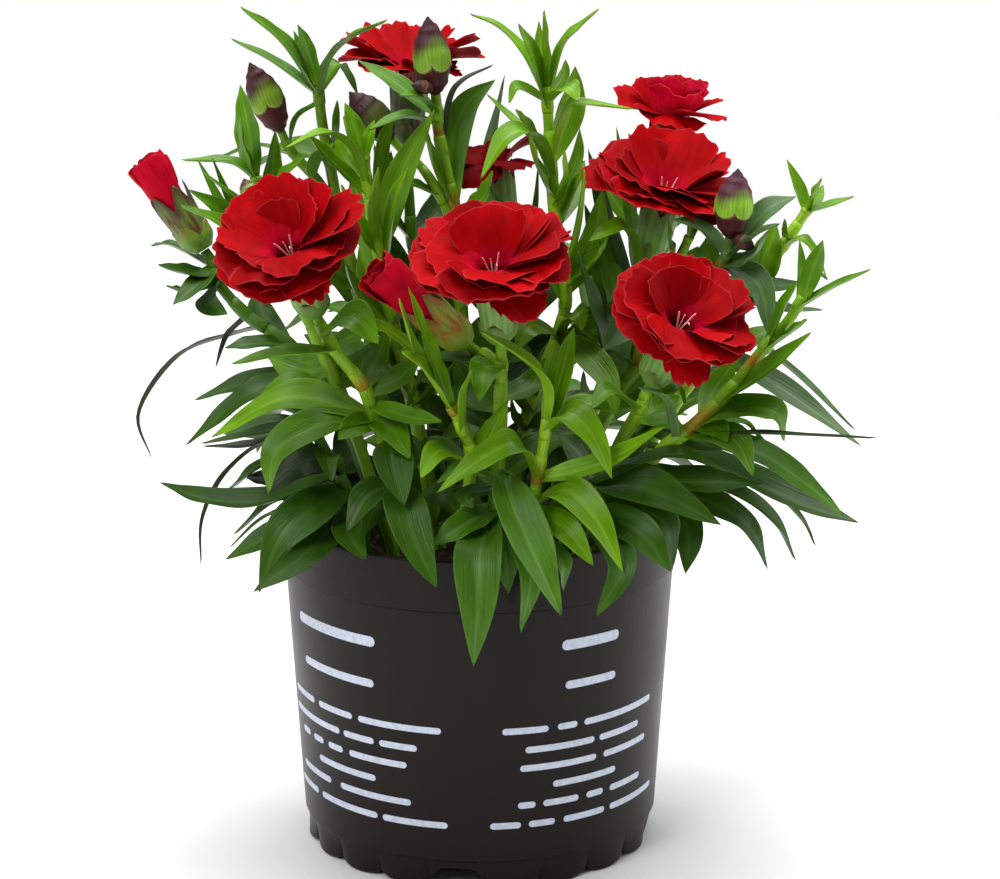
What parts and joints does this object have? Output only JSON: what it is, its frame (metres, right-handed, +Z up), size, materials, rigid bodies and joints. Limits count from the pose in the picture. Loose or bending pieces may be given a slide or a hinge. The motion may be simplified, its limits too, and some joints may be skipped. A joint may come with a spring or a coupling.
{
  "type": "potted dianthus",
  "caption": "Young pot carnation with red double flowers and narrow leaves, growing in a dark round nursery pot with a scalloped foot; it stands upright on a flat surface.",
  "frame": {"origin": "On the ground at the middle of the pot's foot, on the pot's axis.", "axes": "+Z up along the pot's axis, +Y to the back of the plant, +X to the right as seen from the front."},
  "size_m": [0.2275, 0.1603, 0.2555],
  "materials": {
    "pot": "semi-gloss thermoformed plastic, near black brown",
    "soil": "moist fibrous peat",
    "foliage": "living stem and leaf, satin, bright green when young and dark or blue-green when old",
    "calyx": "satin ribbed green, maroon at the mouth",
    "petal": "velvety red with paler, finely toothed edges",
    "pistil": "pale pink, matte",
    "bud": "satin, maroon at the tip and foot, grey-green between"
  },
  "bodies": {
    "root": {"calyx_front_left": "calyx", "outer_petals_front_left": "petal", "inner_petals_front_left": "petal", "pistil_front_left": "pistil", "calyx_front_centre": "calyx", "outer_petals_front_centre": "petal", "inner_petals_front_centre": "petal", "pistil_front_centre": "pistil", "calyx_front_right": "calyx", "outer_petals_front_right": "petal", "inner_petals_front_right": "petal", "pistil_front_right": "pistil", "calyx_upper_right": "calyx", "outer_petals_upper_right": "petal", "inner_petals_upper_right": "petal", "pistil_upper_right": "pistil", "calyx_top_right": "calyx", "outer_petals_top_right": "petal", "inner_petals_top_right": "petal", "calyx_top_left": "calyx", "outer_petals_top_left": "petal", "inner_petals_top_left": "petal", "calyx_back_centre": "calyx", "outer_petals_back_centre": "petal", "inner_petals_back_centre": "petal", "calyx_left_bud": "calyx", "petals_left_bud": "petal", "calyx_front_bud": "calyx", "petals_front_bud": "petal", "bud_left": "bud", "bud_top": "bud", "bud_centre": "bud", "bud_right": "bud", "bud_small": "bud", "pot": "pot", "potting_soil": "soil", "stem_front_left": "foliage", "stem_front_centre": "foliage", "stem_front_right": "foliage", "stem_upper_right": "foliage", "stem_top_right": "foliage", "stem_top_left": "foliage", "stem_back_centre": "foliage", "stem_left_bud": "foliage", "stem_top_bud": "foliage", "stem_right_bud": "foliage", "shoot_top_left": "foliage", "shoot_upper_left": "foliage", "shoot_centre_left": "foliage", "shoot_top_centre": "foliage", "shoot_right_upper": "foliage", "shoot_right": "foliage", "shoot_front_right": "foliage", "shoot_front_left": "foliage", "shoot_low_front_left": "foliage", "shoot_low_front": "foliage", "shoot_low_front_right": "foliage", "shoot_low_right": "foliage", "shoot_low_left": "foliage", "shoot_low_left_back": "foliage"}
  },
  "joints": []
}
